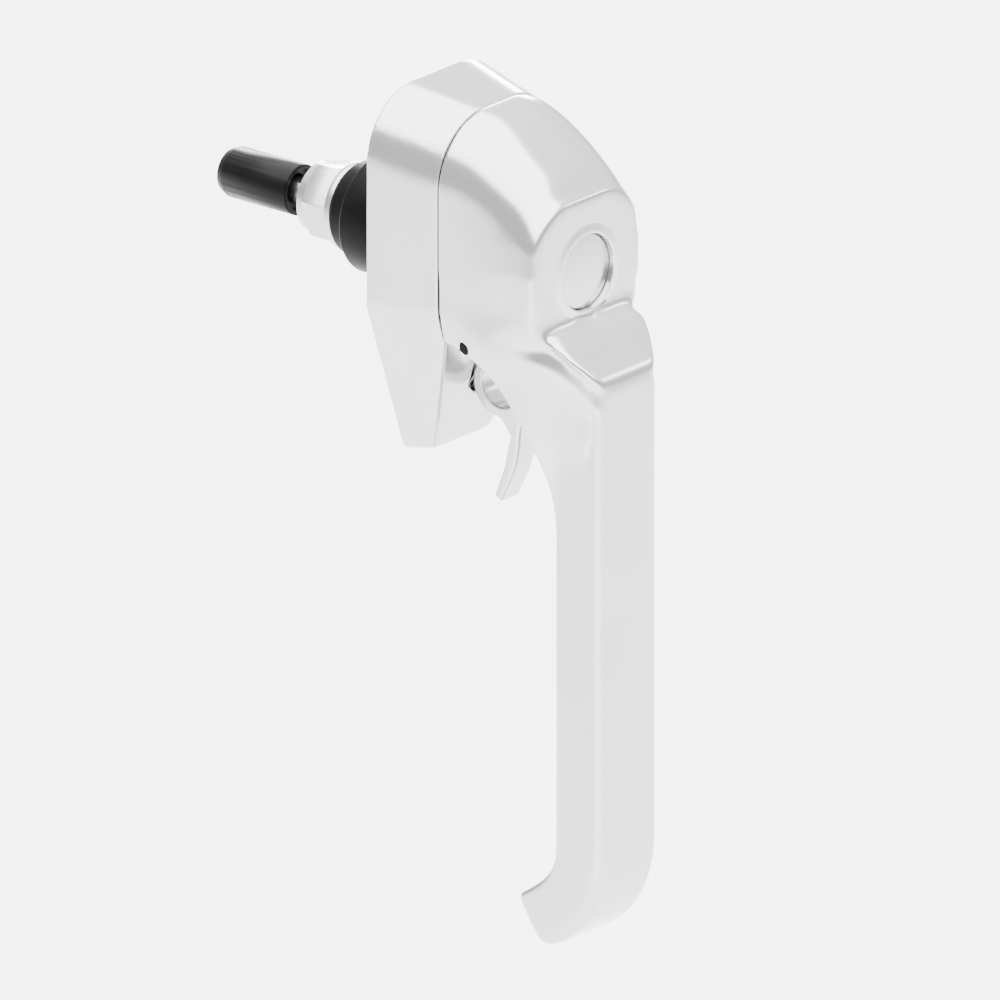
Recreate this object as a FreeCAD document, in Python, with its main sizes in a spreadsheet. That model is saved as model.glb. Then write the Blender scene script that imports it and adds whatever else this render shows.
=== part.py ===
import FreeCAD
import Part
import os
import re
import math
import Sketcher
from FreeCAD import Placement, Rotation, Vector

os.makedirs("parts", exist_ok=True)
doc = FreeCAD.newDocument("latch")

# Sizes in millimetres. The frame's origin is the turning axis on the panel plane, with the panel at +Y.
sheet = doc.addObject("Spreadsheet::Sheet", "Sizes")
sizes = {
    # Clearances
    "gap": 0.3,
    "running": 0.08,
    # Housing
    "housing_half": 25,
    "housing_top": 38.95,
    "housing_bend": 12.3,
    "housing_bottom": 51.2,
    "foot_half": 11.3,
    "housing_deep": 18.8,
    "draft": 10,
    "corner": 17.1,
    "foot_start": 19,
    "foot_slope": 19,
    "wall": 3,
    "front_wall": 3.5,
    "cavity_low": 14,
    "foot_cavity": 4.6,
    "hub_flange": 15.5,
    "hub_outer": 9.4,
    "hub_end": 22.4,
    "slot_half": 3.9,
    "slot_end": 34.5,
    "slot_floor": 9.8,
    "screw_top": 26.5,
    "screw_low": 43.5,
    "screw_core": 2.5,
    "screw_boss": 5.2,
    "screw_deep": 6,
    "rib_half": 1,
    # Bushing and bearing
    "bushing_wide": 14.25,
    "bushing_narrow": 11.25,
    "bushing_step": 17.8,
    "bushing_end": 23,
    "sleeve_wall": 1.4,
    # Spindle
    "journal": 6,
    "square_half": 4.6,
    "stud": 4.95,
    "stud_end": 45,
    "stud_tip": 3.6,
    # Rear stack
    "washer_outer": 10.5,
    "washer_thick": 1.8,
    "nut_flats": 17,
    "nut_high": 7.8,
    "nut_collar": 8.4,
    "nut_total": 10.8,
    "cap_outer": 6.12,
    "cap_wall": 1.1,
    "cap_start": 40.5,
    "cap_end": 62.3,
    "cap_round": 2.8,
    # Head of the handle
    "head_half": 21.7,
    "head_top": 35.6,
    "head_low": 4,
    "boss_end": 12.5,
    "boss_half": 17.4,
    "boss_top": 19.6,
    "boss_corner": 10.5,
    "boss_out": 46,
    "boss_low": 11,
    "boss_round": 2.4,
    "lip_outer": 10.7,
    "lip_high": 0.9,
    "lip_bevel": 0.4,
    "lock_bore": 9.3,
    "lock_deep": 8,
    "plug_face": 0.9,
    "web": 4,
    "cheek_step": 0.15,
    # Pad, grip and hook
    "grip_half": 10.15,
    "grip_front": 58.9,
    "grip_back": 45.6,
    "pad_top_half": 14.4,
    "pad_low": 22.5,
    "pad_bend": 7,
    "pad_fade": 5.5,
    "pad_rim": 1.6,
    "neck_end": 61,
    "hook_y": 30,
    "hook_z": 139,
    "hook_turn": 60,
    "hook_more": 2.3,
    "grip_round": 2.7,
    "grip_edge": 0.8,
    # Trigger
    "pivot_y": 25.5,
    "pivot_z": 18.1,
    "pin": 1.5,
    "pin_half": 17.4,
    "trigger_half": 3.55,
    "trigger_play": 0.4,
    "eye_y": 22.7,
    "eye_z": 32.3,
    "eye_outer": 8.2,
    "eye_hole": 5.65,
    "tail_round": 0.9,
    "arm_half": 4.8,
    "swing": 22,
    "fork_half": 1.9,
    "coil": 2.7,
    "wire": 0.35,
    # Stop
    "stop_at": 15,
    "stop_pin": 2,
    "stop_deep": 4.4,
}
sizes_from_others = {
    "pad_reach": "grip_front - boss_out",
    "pad_rise": "pad_low - boss_low",
    "pad_length": "sqrt(pad_reach^2 + pad_rise^2)",
    "pad_draw": "(pad_top_half - grip_half) / pad_rise",
    "pad_tangent": "pad_bend * (pad_length - pad_rise) / pad_reach",
    "parting": "housing_deep + gap",
    "dome_one": "housing_deep + 0.154 * (boss_out - housing_deep)",
    "dome_two": "housing_deep + 0.338 * (boss_out - housing_deep)",
    "dome_three": "housing_deep + 0.522 * (boss_out - housing_deep)",
    "dome_four": "housing_deep + 0.706 * (boss_out - housing_deep)",
    "neck_waist": "head_half - 2.1",
    "tail_from": "eye_z + eye_outer",
    "tip_inner": "(grip_back - hook_y) * tan(hook_turn / 2)",
    "tip_outer": "(grip_front - hook_y) * tan(hook_turn / 2)",
    "tip_inner_y": "-grip_back + (tip_inner + hook_more) * sin(hook_turn)",
    "tip_inner_z": "-hook_z - tip_inner - (tip_inner + hook_more) * cos(hook_turn)",
    "tip_outer_y": "-grip_front + (tip_outer + hook_more) * sin(hook_turn)",
    "tip_outer_z": "-hook_z - tip_outer - (tip_outer + hook_more) * cos(hook_turn)",
}
for row, (alias, value) in enumerate(sizes.items(), 1):
    sheet.set("A%d" % row, alias)
    sheet.set("B%d" % row, str(value))
    sheet.setAlias("B%d" % row, alias)
for row, (alias, value) in enumerate(sizes_from_others.items(), len(sizes) + 1):
    sheet.set("A%d" % row, alias)
    sheet.set("B%d" % row, "=" + value)
    sheet.setAlias("B%d" % row, alias)
doc.recompute()

FUNCTIONS = ("sin", "cos", "tan", "sqrt", "asin", "acos", "min", "max")


def bound(text):
    """The expression with every size's word naming its cell."""
    def name(match):
        word = match.group(0)
        return word if word in FUNCTIONS else "Sizes." + word
    return re.sub(r"[a-z_]+[a-z_0-9]*", name, str(text))


def number(text):
    """The expression's value now."""
    value = sheet.evalExpression(bound(text))
    return float(getattr(value, "Value", value))


def bind(item, prop, text):
    """Binds a property to its expression."""
    item.setExpression(prop, bound(text))


def fixed(sketch, name, index, place, at):
    """Places one sketch point by its distance from the origin."""
    for axis, text in zip("XY", at):
        mark = "%s_%s" % (name, axis.lower())
        count = sketch.addConstraint(
            Sketcher.Constraint("Distance" + axis, -1, 1, index, place, number(text)))
        sketch.renameConstraint(count, mark)
        sketch.setExpression("Constraints." + mark, bound(text))


def drawing(body, name, role, out="0"):
    """An empty sketch on an origin plane of the body, moved out along its normal."""
    sketch = body.newObject("Sketcher::SketchObject", name)
    plane = [item for item in body.Origin.OriginFeatures if item.Role == role][0]
    sketch.AttachmentSupport = (plane, [""])
    sketch.MapMode = "FlatFace"
    if out != "0":
        sketch.AttachmentOffset = Placement(Vector(0, 0, number(out)), Rotation())
        bind(sketch, "AttachmentOffset.Base.z", out)
    return sketch


def outline(body, name, role, points, out="0"):
    """A closed outline. A third entry bends the edge after a point to that radius, left if positive."""
    sketch = drawing(body, name, role, out)
    ends = []
    spots = [Vector(number(point[0]), number(point[1]), 0) for point in points]
    for index, point in enumerate(points):
        start = spots[index]
        stop = spots[(index + 1) % len(points)]
        if len(point) == 2:
            sketch.addGeometry(Part.LineSegment(start, stop), False)
            ends.append((1, 2))
            continue
        signed = number(point[2])
        radius = abs(signed)
        side = 1 if signed > 0 else -1
        chord = stop - start
        left = Vector(-chord.y, chord.x, 0).normalize()
        away = math.sqrt(radius ** 2 - chord.Length ** 2 / 4)
        middle = (start + stop) * 0.5 - left * side * away
        first, last = (stop, start) if side > 0 else (start, stop)
        turn = [math.atan2(end.y - middle.y, end.x - middle.x) for end in (first, last)]
        circle = Part.Circle(middle, Vector(0, 0, 1), radius)
        sketch.addGeometry(Part.ArcOfCircle(circle, turn[0], turn[1]), False)
        ends.append((2, 1) if side > 0 else (1, 2))
        count = sketch.addConstraint(Sketcher.Constraint("Radius", index, radius))
        sketch.renameConstraint(count, "radius_%d" % index)
        sketch.setExpression("Constraints.radius_%d" % index, bound("(%s) * %d" % (point[2], side)))
    for index, point in enumerate(points):
        following = (index + 1) % len(points)
        sketch.addConstraint(
            Sketcher.Constraint("Coincident", index, ends[index][1], following, ends[following][0]))
        fixed(sketch, "point_%d" % index, index, ends[index][0], point[:2])
    return sketch


def arch(body, name, out, half, top, low, corner):
    """A round-topped section of the head at its distance out from the panel."""
    spring = "(%s) - (%s)" % (top, corner)
    flat = "(%s) - (%s)" % (half, corner)
    return outline(body, name, "XZ_Plane", [
        ("-(%s)" % half, "-(%s)" % low),
        ("-(%s)" % half, spring, corner),
        ("-(%s)" % flat, top),
        (flat, top, corner),
        (half, spring),
        (half, "-(%s)" % low),
    ], out=out)


def rings(body, name, role, circles, out="0"):
    """Circles given as across, up and radius."""
    sketch = drawing(body, name, role, out)
    for index, (across, up, radius) in enumerate(circles):
        centre = Vector(number(across), number(up), 0)
        sketch.addGeometry(Part.Circle(centre, Vector(0, 0, 1), number(radius)), False)
        fixed(sketch, "centre_%d" % index, index, 3, (across, up))
        count = sketch.addConstraint(Sketcher.Constraint("Radius", index, number(radius)))
        sketch.renameConstraint(count, "radius_%d" % index)
        sketch.setExpression("Constraints.radius_%d" % index, bound(radius))
    return sketch


def new_body(name):
    return doc.addObject("PartDesign::Body", name)


def pad(body, name, sketch, length, middle=False, back=False, draft=None):
    item = body.newObject("PartDesign::Pad", name)
    item.Profile = sketch
    bind(item, "Length", length)
    item.Midplane = middle
    item.Reversed = back
    if draft is not None:
        item.TaperAngle = number(draft)
        bind(item, "TaperAngle", draft)
    doc.recompute()
    return item


def pocket(body, name, sketch, length, middle=False, back=False, draft=None):
    """A pocket; back sends it along the sketch's normal."""
    item = body.newObject("PartDesign::Pocket", name)
    item.Profile = sketch
    item.Type = 0
    bind(item, "Length", length)
    item.Midplane = middle
    item.Reversed = back
    if draft is not None:
        item.TaperAngle = number(draft)
        bind(item, "TaperAngle", draft)
    doc.recompute()
    return item


def turned(name, points):
    """A body turned round the Y axis from points given as radius and Y."""
    body = new_body(name)
    sketch = outline(body, name + "_profile", "XY_Plane", points)
    item = body.newObject("PartDesign::Revolution", name + "_turn")
    item.Profile = sketch
    item.ReferenceAxis = (sketch, ["V_Axis"])
    item.Angle = 360
    doc.recompute()
    return body


def edges_where(shape, test):
    """Names of the edges whose bounding box, middle and length pass the test."""
    found = []
    for index, edge in enumerate(shape.Edges, 1):
        if test(edge, edge.BoundBox):
            found.append("Edge%d" % index)
    return found


def rounded(body, name, radius, test):
    """Rounds the chosen edges of the body's newest feature."""
    base = body.Tip
    item = body.newObject("PartDesign::Fillet", name)
    item.Base = (base, edges_where(base.Shape, test))
    item.Radius = number(radius)
    bind(item, "Radius", radius)
    doc.recompute()
    return item


def fused(name, parts):
    item = doc.addObject("Part::MultiFuse", name)
    item.Shapes = parts
    item.Refine = True
    doc.recompute()
    return item


def shared(name, parts):
    item = doc.addObject("Part::MultiCommon", name)
    item.Shapes = parts
    item.Refine = True
    doc.recompute()
    return item


def cut(name, base, tools):
    """The base less each tool in turn."""
    for index, tool in enumerate(tools):
        item = doc.addObject("Part::Cut", "%s_%d" % (name, index))
        item.Base = base
        item.Tool = tool
        item.Refine = True
        doc.recompute()
        base = item
    return base


nodes = {}

# Housing: a drafted die casting with its slanted foot.
housing = new_body("housing")
face = outline(housing, "housing_outline", "XZ_Plane", [
    ("-housing_half", "housing_top"),
    ("housing_half", "housing_top"),
    ("housing_half", "-housing_bend"),
    ("foot_half", "-housing_bottom"),
    ("-foot_half", "-housing_bottom"),
    ("-housing_half", "-housing_bend"),
])
pad(housing, "housing_block", face, "housing_deep", draft="-draft")
deep = number("housing_deep")
top_half = number("housing_top") / 2
low_half = -number("housing_bottom") / 2
rounded(housing, "top_corners", "corner",
        lambda e, b: b.YLength > 0.9 * deep and b.ZMin > top_half)
rounded(housing, "side_bends", "12",
        lambda e, b: b.YLength > 0.9 * deep and low_half < b.ZMin < 0)
rounded(housing, "foot_corners", "2.2",
        lambda e, b: b.YLength > 0.9 * deep and b.ZMax < low_half)
slope = outline(housing, "foot_line", "YZ_Plane", [
    ("-housing_deep - 0.01", "-foot_start"),
    ("-housing_deep + tan(foot_slope) * (housing_bottom + 6 - foot_start)", "-housing_bottom - 6"),
    ("-housing_deep - 8", "-housing_bottom - 6"),
    ("-housing_deep - 8", "-foot_start"),
])
pocket(housing, "foot_cut", slope, "4 * housing_half", middle=True)
rounded(housing, "foot_edge", "1.2",
        lambda e, b: b.ZMax < -17 and b.YMax < -3 and abs(b.XMax) > 5)
hollow = outline(housing, "cavity_outline", "XZ_Plane", [
    ("-housing_half + wall + corner * 0.32", "housing_top - wall"),
    ("housing_half - wall - corner * 0.32", "housing_top - wall"),
    ("housing_half - wall", "housing_top - wall - corner * 0.7"),
    ("housing_half - wall", "-cavity_low"),
    ("-housing_half + wall", "-cavity_low"),
    ("-housing_half + wall", "housing_top - wall - corner * 0.7"),
])
pocket(housing, "cavity", hollow, "housing_deep - front_wall", back=True, draft="-draft")
low = outline(housing, "foot_cavity_outline", "XZ_Plane", [
    ("-housing_half + 2 * wall", "-cavity_low - 2"),
    ("housing_half - 2 * wall", "-cavity_low - 2"),
    ("foot_half - 0.6", "-housing_bottom + wall"),
    ("-foot_half + 0.6", "-housing_bottom + wall"),
])
pocket(housing, "foot_hollow", low, "foot_cavity", back=True, draft="-draft")
hub = rings(housing, "hub_flange_ring", "XZ_Plane", [("0", "0", "hub_flange")])
pad(housing, "hub_flange_pad", hub, "housing_deep - front_wall / 2")
hub = rings(housing, "hub_ring", "XZ_Plane", [("0", "0", "hub_outer")])
pad(housing, "hub_pad", hub, "hub_end", back=True)
bosses = rings(housing, "screw_bosses", "XZ_Plane", [
    ("0", "screw_top", "screw_boss"),
    ("0", "-screw_low", "screw_boss"),
])
pad(housing, "screw_boss_pad", bosses, "screw_deep + 2.2")
ribs = outline(housing, "rib_outline", "XZ_Plane", [
    ("-head_half + wall / 2", "-rib_half"),
    ("head_half - wall / 2", "-rib_half"),
    ("head_half - wall / 2", "rib_half"),
    ("-head_half + wall / 2", "rib_half"),
], out="3")
pad(housing, "rib_pad", ribs, "housing_deep - front_wall / 2 - 3")
upright = outline(housing, "upright_outline", "XZ_Plane", [
    ("-rib_half", "-screw_low"),
    ("rib_half", "-screw_low"),
    ("rib_half", "head_top - wall / 2"),
    ("-rib_half", "head_top - wall / 2"),
], out="3")
pad(housing, "upright_pad", upright, "4")
upright = outline(housing, "web_outline", "XZ_Plane", [
    ("-rib_half", "0"),
    ("rib_half", "0"),
    ("rib_half", "head_top - wall / 2"),
    ("-rib_half", "head_top - wall / 2"),
], out="3")
pad(housing, "web_pad", upright, "housing_deep - front_wall / 2 - 3")
bore = rings(housing, "hub_bore", "XZ_Plane",
             [("0", "0", "journal + running + sleeve_wall")], out="-hub_end - 1")
pocket(housing, "hub_bore_cut", bore, "housing_deep + hub_end + 2", back=True)
seat = rings(housing, "seal_seat", "XZ_Plane", [("0", "0", "journal + 3")], out="housing_deep - 2")
pocket(housing, "seal_seat_cut", seat, "3", back=True)
taps = rings(housing, "screw_holes", "XZ_Plane", [
    ("0", "screw_top", "screw_core"),
    ("0", "-screw_low", "screw_core"),
], out="-1")
pocket(housing, "screw_hole_cut", taps, "screw_deep + 1", back=True)
stop = outline(housing, "stop_slot", "XZ_Plane", [
    ("stop_pin + gap", "sqrt((stop_at - stop_pin - gap)^2 - (stop_pin + gap)^2)"),
    ("stop_pin + gap", "sqrt((stop_at + stop_pin + gap)^2 - (stop_pin + gap)^2)",
     "-(stop_at + stop_pin + gap)"),
    ("-sqrt((stop_at + stop_pin + gap)^2 - (stop_pin + gap)^2)", "-stop_pin - gap"),
    ("-sqrt((stop_at - stop_pin - gap)^2 - (stop_pin + gap)^2)", "-stop_pin - gap",
     "stop_at - stop_pin - gap"),
], out="housing_deep - stop_deep")
pocket(housing, "stop_slot_cut", stop, "stop_deep + 5", back=True)
slot = outline(housing, "trigger_slot", "XZ_Plane", [
    ("-slot_half", "-cavity_low"),
    ("slot_half", "-cavity_low"),
    ("slot_half", "-slot_end"),
    ("0", "-slot_end - 3"),
    ("-slot_half", "-slot_end"),
], out="slot_floor")
pocket(housing, "trigger_slot_cut", slot, "20", back=True)
sweep = rings(housing, "eye_sweep", "YZ_Plane", [("-eye_y", "-eye_z", "eye_outer + gap + 0.05")])
groove = housing.newObject("PartDesign::Groove", "eye_sweep_cut")
groove.Profile = sweep
groove.ReferenceAxis = (sweep, ["H_Axis"])
groove.Angle = 97
groove.Reversed = True
doc.recompute()
nodes["housing"] = housing

# Turned pieces on the main axis, as radius and Y.
nodes["hub_bearing"] = turned("hub_bearing", [
    ("journal + running", "-housing_deep + 2"),
    ("journal + running + sleeve_wall", "-housing_deep + 2"),
    ("journal + running + sleeve_wall", "hub_end"),
    ("journal + running", "hub_end"),
])
nodes["seal_ring"] = turned("seal_ring", [
    ("journal + running", "-housing_deep + 0.2"),
    ("journal + 3", "-housing_deep + 0.2"),
    ("journal + 3", "-housing_deep + 2"),
    ("journal + running", "-housing_deep + 2"),
])
nodes["panel_bushing"] = turned("panel_bushing", [
    ("hub_outer", "0"),
    ("bushing_wide", "0"),
    ("bushing_wide", "bushing_step - 0.8"),
    ("bushing_wide - 0.8", "bushing_step"),
    ("bushing_narrow", "bushing_step"),
    ("bushing_narrow", "bushing_end - 0.6"),
    ("bushing_narrow - 0.6", "bushing_end"),
    ("journal + running", "bushing_end"),
    ("journal + running", "hub_end"),
    ("hub_outer", "hub_end"),
])
nodes["flat_washer"] = turned("flat_washer", [
    ("stud", "bushing_end + gap"),
    ("washer_outer", "bushing_end + gap"),
    ("washer_outer", "bushing_end + gap + washer_thick"),
    ("stud", "bushing_end + gap + washer_thick"),
])
nodes["nylon_insert"] = turned("nylon_insert", [
    ("stud", "bushing_end + gap + washer_thick + nut_high"),
    ("stud + 1.9", "bushing_end + gap + washer_thick + nut_high"),
    ("stud + 1.9", "bushing_end + gap + washer_thick + nut_total - 0.9"),
    ("stud", "bushing_end + gap + washer_thick + nut_total - 0.9"),
])
nodes["end_cap"] = turned("end_cap", [
    ("cap_outer - cap_wall", "cap_start"),
    ("cap_outer", "cap_start"),
    ("cap_outer", "cap_end - cap_round"),
    ("cap_outer - 0.29 * cap_round", "cap_end - 0.29 * cap_round"),
    ("cap_outer - cap_round", "cap_end"),
    ("0", "cap_end"),
    ("0", "cap_end - 2"),
    ("stud_tip - 0.2", "cap_end - 2"),
    ("stud_tip - 0.2", "stud_end"),
    ("stud_tip", "stud_end"),
    ("stud_tip", "cap_start + 1.4"),
    ("cap_outer - cap_wall", "cap_start + 1.4"),
])
nodes["blank_plug"] = turned("blank_plug", [
    ("0", "-boss_out + plug_face"),
    ("lock_bore - 0.5", "-boss_out + plug_face"),
    ("lock_bore - 0.1", "-boss_out + plug_face + 0.4"),
    ("lock_bore - 0.1", "-boss_out + 3"),
    ("lock_bore - 1", "-boss_out + 3"),
    ("lock_bore - 1", "-boss_out + 4.2"),
    ("0", "-boss_out + 4.2"),
])
nodes["plug_seal"] = turned("plug_seal", [
    ("lock_bore - 1", "-boss_out + 3"),
    ("lock_bore", "-boss_out + 3"),
    ("lock_bore", "-boss_out + 4.2"),
    ("lock_bore - 1", "-boss_out + 4.2"),
])

# Hexagon nut with its round collar.
nut = new_body("lock_nut")
corners = []
for index in range(6):
    turn = 170 + 60 * index
    corners.append(("cos(%d) * nut_flats / sqrt(3)" % turn, "sin(%d) * nut_flats / sqrt(3)" % turn))
hexagon = outline(nut, "nut_hexagon", "XZ_Plane", corners, out="-bushing_end - gap - washer_thick")
pad(nut, "nut_block", hexagon, "nut_high", back=True)
chamfer = outline(nut, "nut_chamfer", "XY_Plane", [
    ("nut_flats * 0.51", "bushing_end + gap + washer_thick + nut_high"),
    ("nut_flats * 0.7", "bushing_end + gap + washer_thick + nut_high"),
    ("nut_flats * 0.7", "bushing_end + gap + washer_thick + nut_high - 1.8"),
])
item = nut.newObject("PartDesign::Groove", "nut_chamfer_cut")
item.Profile = chamfer
item.ReferenceAxis = (chamfer, ["V_Axis"])
item.Angle = 360
doc.recompute()
collar = outline(nut, "nut_collar", "XY_Plane", [
    ("0", "bushing_end + gap + washer_thick + nut_high - 0.5"),
    ("nut_collar", "bushing_end + gap + washer_thick + nut_high - 0.5"),
    ("nut_collar", "bushing_end + gap + washer_thick + nut_total - 1"),
    ("nut_collar - 1.6", "bushing_end + gap + washer_thick + nut_total"),
    ("0", "bushing_end + gap + washer_thick + nut_total"),
])
item = nut.newObject("PartDesign::Revolution", "nut_collar_turn")
item.Profile = collar
item.ReferenceAxis = (collar, ["V_Axis"])
item.Angle = 360
doc.recompute()
core = outline(nut, "nut_bore", "XY_Plane", [
    ("0", "bushing_end"),
    ("stud", "bushing_end"),
    ("stud", "bushing_end + gap + washer_thick + nut_high"),
    ("stud + 1.9", "bushing_end + gap + washer_thick + nut_high"),
    ("stud + 1.9", "bushing_end + gap + washer_thick + nut_total - 0.9"),
    ("stud + 0.9", "bushing_end + gap + washer_thick + nut_total - 0.9"),
    ("stud + 0.9", "bushing_end + 20"),
    ("0", "bushing_end + 20"),
])
item = nut.newObject("PartDesign::Groove", "nut_bore_cut")
item.Profile = core
item.ReferenceAxis = (core, ["V_Axis"])
item.Angle = 360
doc.recompute()
nodes["lock_nut"] = nut

# Spindle: square in the handle, journal in the sleeve, threaded stud behind.
spindle = turned("spindle", [
    ("0", "-housing_deep - gap"),
    ("journal", "-housing_deep - gap"),
    ("journal", "bushing_end + gap - 0.6"),
    ("journal", "bushing_end + gap"),
    ("stud", "bushing_end + gap"),
    ("stud", "cap_start - 3.2"),
    ("stud - 0.7", "cap_start - 2.5"),
    ("stud_tip", "cap_start - 2.5"),
    ("stud_tip", "stud_end - 0.6"),
    ("stud_tip - 0.6", "stud_end"),
    ("0", "stud_end"),
])
square = outline(spindle, "square_outline", "XZ_Plane", [
    ("-square_half", "-square_half"),
    ("square_half", "-square_half"),
    ("square_half", "square_half"),
    ("-square_half", "square_half"),
], out="housing_deep + gap")
pad(spindle, "square_end", square, "boss_out - lock_deep - web - housing_deep - gap")
tap = rings(spindle, "screw_tap", "XZ_Plane", [("0", "0", "2.1")], out="boss_out - lock_deep - web - 11")
pocket(spindle, "screw_tap_cut", tap, "14", back=True)
flats = outline(spindle, "tip_flats", "XZ_Plane", [
    ("-stud", "stud_tip - 0.9"),
    ("stud", "stud_tip - 0.9"),
    ("stud", "stud"),
    ("-stud", "stud"),
], out="-cap_start + 2.5")
pocket(spindle, "tip_flat_cut", flats, "30")
nodes["spindle"] = spindle

# Screw that draws the spindle into the handle.
screw = turned("handle_screw", [
    ("0", "-boss_out + lock_deep - 2.6"),
    ("4.1", "-boss_out + lock_deep - 2.6"),
    ("4.4", "-boss_out + lock_deep - 2.2"),
    ("4.4", "-boss_out + lock_deep"),
    ("2.1", "-boss_out + lock_deep"),
    ("2.1", "-boss_out + lock_deep + web + 8"),
    ("0", "-boss_out + lock_deep + web + 9.2"),
])
socket = outline(screw, "socket", "XZ_Plane", [
    ("cos(%d) * 2.4" % (60 * index), "sin(%d) * 2.4" % (60 * index)) for index in range(6)
], out="boss_out - lock_deep + 0.6")
pocket(screw, "socket_cut", socket, "5", back=True)
nodes["handle_screw"] = screw

# Head of the handle: arched sections from the parting plane out to the lock face.
head = new_body("head")
sections = [
    arch(head, "section_0", "parting", "head_half", "head_top", "head_low", "corner"),
    arch(head, "section_1", "dome_one", "head_half - 0.5", "head_top - 0.7", "head_low", "corner - 0.6"),
    arch(head, "section_2", "dome_two", "head_half - 1.2", "head_top - 2.9", "head_low", "corner - 1.6"),
    arch(head, "section_3", "dome_three", "head_half - 1.9", "head_top - 6.1", "head_low", "corner - 3"),
    arch(head, "section_4", "dome_four", "head_half - 3.0", "head_top - 9.7", "head_low", "corner - 4.6"),
    arch(head, "section_5", "boss_out - 2.6", "boss_half + 0.2", "boss_top + 1.3", "head_low",
         "boss_corner + 0.4"),
]
dome = head.newObject("PartDesign::AdditiveLoft", "dome")
dome.Profile = sections[0]
dome.Sections = sections[1:]
dome.Ruled = False
doc.recompute()

boss = new_body("boss")
pad(boss, "boss_block", arch(boss, "boss_outline", "dome_two", "boss_half", "boss_top", "boss_end", "boss_corner"),
    "boss_out - dome_two")
front = number("boss_out")
rounded(boss, "boss_edge", "boss_round",
        lambda e, b: b.YMax < -front + 0.01 and b.ZMax > 0)
lip = rings(boss, "lip_ring", "XZ_Plane", [("0", "0", "lip_outer")], out="boss_out - 1")
pad(boss, "lip_pad", lip, "lip_high + 1")
lip_base = boss.Tip
bevel = boss.newObject("PartDesign::Chamfer", "lip_edge")
bevel.Base = (lip_base, edges_where(lip_base.Shape, lambda e, b: b.YMax < -front - 0.5))
bevel.Size = number("lip_bevel")
bind(bevel, "Size", "lip_bevel")
doc.recompute()

# Neck: what the side, front and plan outlines of the casting share.
neck_side = new_body("neck_side")
side = outline(neck_side, "neck_side_outline", "YZ_Plane", [
    ("-parting", "-boss_end"),
    ("-parting", "-pivot_z", "-27"),
    ("-grip_back + 11", "-pivot_z - 11.5", "-66"),
    ("-grip_back", "-neck_end"),
    ("-grip_back - 2", "-neck_end"),
    ("-grip_front + grip_round + 0.2", "-pad_low - 14"),
    ("-grip_front + grip_round + 0.2", "-pad_low"),
    ("-boss_out", "-boss_low - 2.4"),
    ("-boss_out", "-boss_end"),
])
pad(neck_side, "neck_side_block", side, "2 * head_half + 4", middle=True)
neck_front = new_body("neck_front")
front_view = outline(neck_front, "neck_front_outline", "XZ_Plane", [
    ("-head_half", "0"),
    ("-head_half", "-head_low", "-36"),
    ("-neck_waist", "-pivot_z", "66"),
    ("-grip_half", "-neck_end - 0.2"),
    ("grip_half", "-neck_end - 0.2", "66"),
    ("neck_waist", "-pivot_z", "-36"),
    ("head_half", "-head_low"),
    ("head_half", "0"),
])
pad(neck_front, "neck_front_block", front_view, "grip_front + 2")
neck_plan = new_body("neck_plan")
plan = outline(neck_plan, "neck_plan_outline", "XY_Plane", [
    ("-head_half + cheek_step", "-parting + 1"),
    ("-head_half + cheek_step", "-parting"),
    ("-head_half + cheek_step + 1.9", "-dome_three"),
    ("-pad_top_half + 0.9", "-boss_out"),
    ("-grip_half", "-grip_front + 2"),
    ("grip_half", "-grip_front + 2"),
    ("pad_top_half - 0.9", "-boss_out"),
    ("head_half - cheek_step - 1.9", "-dome_three"),
    ("head_half - cheek_step", "-parting"),
    ("head_half - cheek_step", "-parting + 1"),
])
pad(neck_plan, "neck_plan_block", plan, "2 * neck_end + 10", middle=True)
neck = shared("neck", [neck_side, neck_front, neck_plan])
cheek_plan = new_body("cheek_plan")
plan = outline(cheek_plan, "cheek_plan_outline", "XY_Plane", [
    ("-head_half + cheek_step", "-parting"),
    ("-head_half + cheek_step + 1.9", "-dome_three"),
    ("-boss_half - 0.9", "-dome_four - 0.5"),
    ("-boss_half - 0.1", "-boss_out + 3"),
    ("boss_half + 0.1", "-boss_out + 3"),
    ("boss_half + 0.9", "-dome_four - 0.5"),
    ("head_half - cheek_step - 1.9", "-dome_three"),
    ("head_half - cheek_step", "-parting"),
], out="-boss_end")
pad(cheek_plan, "cheek_plan_block", plan, "boss_end - head_low")
cheeks = shared("cheeks", [cheek_plan, neck_front])

# Thumb pad: a trapezoid standing out of the neck on a slant.
thumb = new_body("thumb_pad")
shape = outline(thumb, "thumb_outline", "XZ_Plane", [
    ("-pad_top_half", "-boss_low + 3"),
    ("-pad_top_half", "-boss_low"),
    ("-grip_half + pad_fade * pad_draw", "-pad_low - pad_fade"),
    ("grip_half - pad_fade * pad_draw", "-pad_low - pad_fade"),
    ("pad_top_half", "-boss_low"),
    ("pad_top_half", "-boss_low + 3"),
], out="boss_out - 5")
pad(thumb, "thumb_block", shape, "grip_front - boss_out + 5")
trim = outline(thumb, "thumb_trim", "YZ_Plane", [
    ("-boss_out + 3", "-boss_low + 4"),
    ("-boss_out + 3", "-boss_low + 3 * pad_rise / pad_reach"),
    ("-grip_front + pad_tangent * pad_reach / pad_length", "-pad_low + pad_tangent * pad_rise / pad_length",
     "-pad_bend"),
    ("-grip_front", "-pad_low - pad_tangent"),
    ("-grip_front - 3", "-pad_low - pad_tangent"),
    ("-grip_front - 3", "-boss_low + 4"),
])
pocket(thumb, "thumb_cut", trim, "60", middle=True)
pad_rise = number("pad_rise")
rounded(thumb, "thumb_rim", "pad_rim",
        lambda e, b: b.YMax < 4 - front and b.ZMax < 4 - number("boss_low") and b.XLength > 0.5
        and b.ZLength > 0.7 * pad_rise and b.YLength > 0.7 * pad_rise)

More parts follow.
